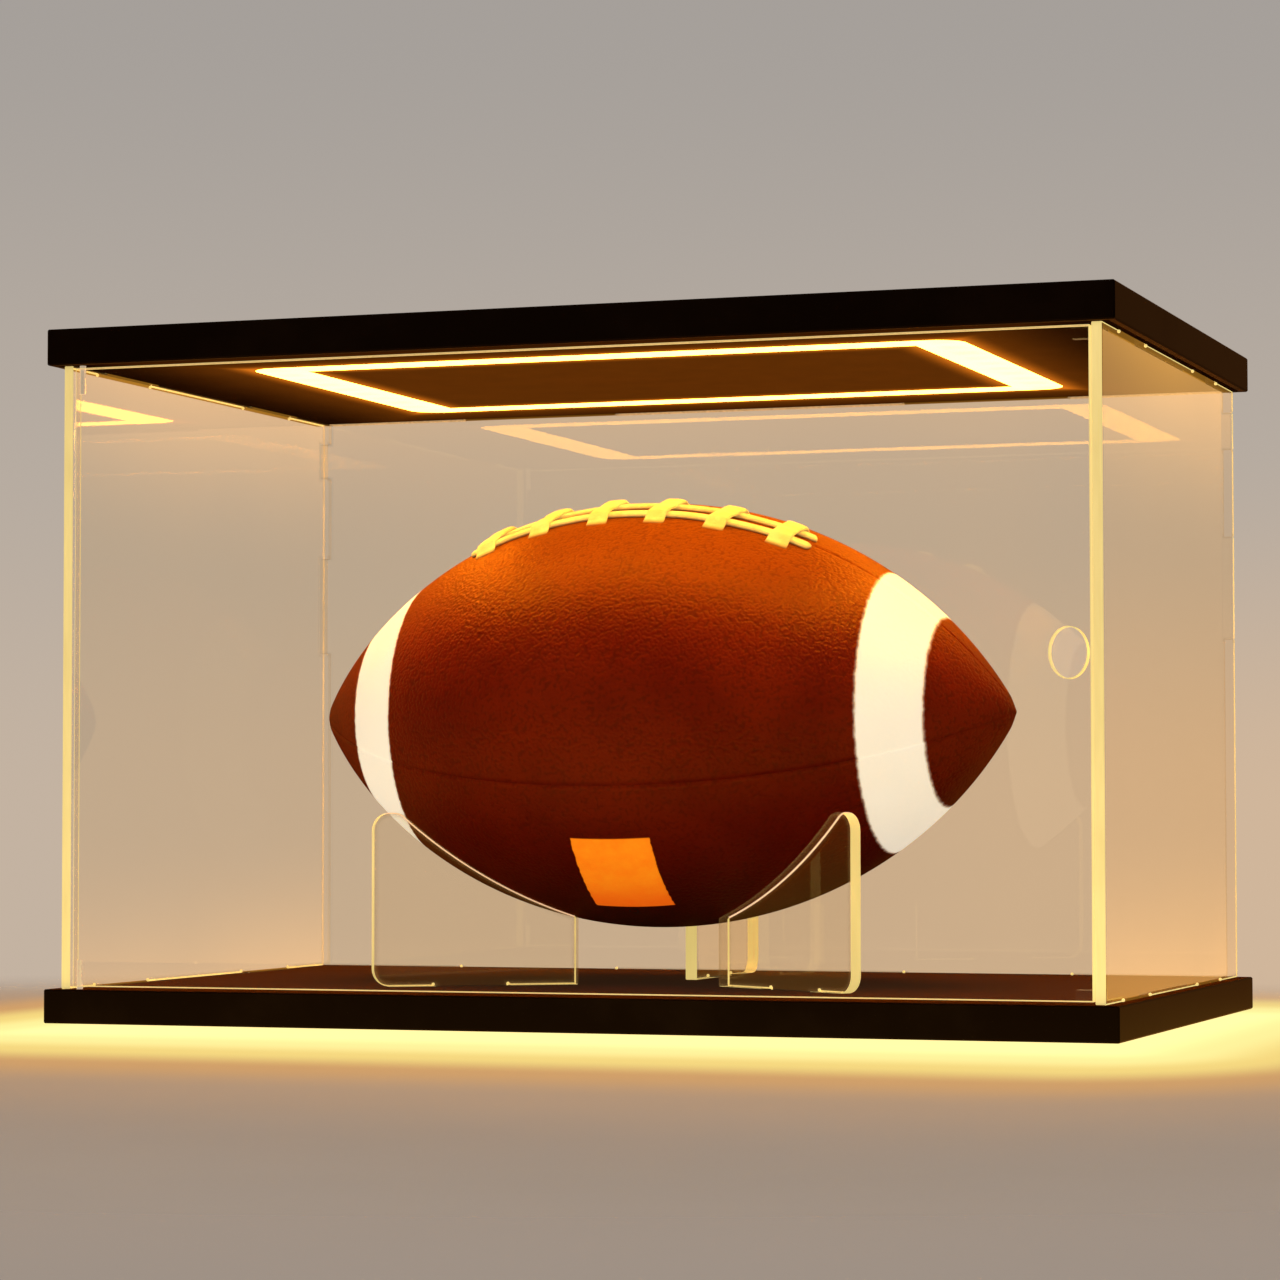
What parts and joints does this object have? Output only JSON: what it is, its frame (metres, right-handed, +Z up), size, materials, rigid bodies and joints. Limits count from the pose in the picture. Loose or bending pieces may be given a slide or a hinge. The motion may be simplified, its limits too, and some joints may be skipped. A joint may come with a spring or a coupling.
{
  "type": "football display case",
  "caption": "Clear acrylic display case with black base and lid slabs, hinged front door, warm light rings and a clear cradle that holds an American football.",
  "frame": {"origin": "middle of the footprint, on the plane that the four feet stand on", "axes": "+X to the viewer's right along the case's width, +Y from the door to the back wall, +Z up"},
  "size_m": [0.419, 0.253, 0.27],
  "materials": {
    "black_acrylic": "satin gloss black acrylic sheet",
    "black_cover": "satin black acrylic cover plate",
    "clear_acrylic": "clear laser-cut acrylic with polished edges that glow",
    "warm_diffuser": "frosted diffuser lit warm white",
    "led_strip": "white printed light strip",
    "circuit_board": "solder-masked circuit board",
    "socket_metal": "plated socket shell",
    "switch_plastic": "moulded black switch housing",
    "button_plastic": "moulded dark grey push button",
    "wire_sheath": "red insulated wire",
    "foot_rubber": "black rubber foot",
    "screw_steel": "zinc-plated countersunk screw",
    "pin_steel": "stainless steel pin",
    "ball_leather": "pebbled brown leather with painted cream stripes",
    "ball_rubber": "black rubber",
    "ball_lacing": "cream leather lacing"
  },
  "bodies": {
    "case": {"base_shell": "black_acrylic", "base_bottom_plate": "black_cover", "base_cover_screws": "screw_steel", "foot_front_left": "foot_rubber", "foot_front_right": "foot_rubber", "foot_rear_left": "foot_rubber", "foot_rear_right": "foot_rubber", "under_light_strip": "led_strip", "under_light_diffuser": "warm_diffuser", "base_driver_board": "circuit_board", "base_power_inlet": "socket_metal", "base_switch_body": "switch_plastic", "base_light_wires": "wire_sheath", "cradle_plate_left": "clear_acrylic", "cradle_plate_right": "clear_acrylic", "cradle_plate_rear": "clear_acrylic", "left_wall": "clear_acrylic", "right_wall": "clear_acrylic", "back_wall": "clear_acrylic", "door_stops": "clear_acrylic"},
    "door": {"door_panel": "clear_acrylic", "door_pivot_pins": "pin_steel"},
    "lid": {"lid_shell": "black_acrylic", "lid_underside_plate": "black_cover", "light_ring_strip": "led_strip", "light_ring_diffuser": "warm_diffuser", "lid_driver_board": "circuit_board", "lid_power_inlet": "socket_metal", "lid_switch_body": "switch_plastic", "lid_light_wires": "wire_sheath"},
    "base_button": {"base_switch_button": "button_plastic"},
    "lid_button": {"lid_switch_button": "button_plastic"},
    "football": {"football_panel_front": "ball_leather", "football_panel_bottom": "ball_leather", "football_panel_rear": "ball_leather", "football_panel_top": "ball_leather", "football_bladder": "ball_rubber", "football_valve": "ball_rubber", "football_long_laces": "ball_lacing", "football_cross_laces": "ball_lacing"}
  },
  "joints": [
    {"name": "door_hinge", "type": "hinge", "parent": "case", "child": "door", "pos_m": [-0.197, -0.1205, 0.136], "axis": [0, 0, -1], "range_deg": [0, 100]},
    {"name": "lid_lift", "type": "slide", "parent": "case", "child": "lid", "axis": [0, 0, 1], "range_m": [0, 0.03]},
    {"name": "football_lift", "type": "slide", "parent": "case", "child": "football", "axis": [0, 0, 1], "range_m": [0, 0.03]},
    {"name": "base_button_press", "type": "slide", "parent": "case", "child": "base_button", "axis": [0, -1, 0], "range_m": [0, 0.001], "stiffness_N_per_m": 600, "springref_m": -0.001},
    {"name": "lid_button_press", "type": "slide", "parent": "lid", "child": "lid_button", "axis": [0, -1, 0], "range_m": [0, 0.001], "stiffness_N_per_m": 600, "springref_m": -0.001}
  ]
}
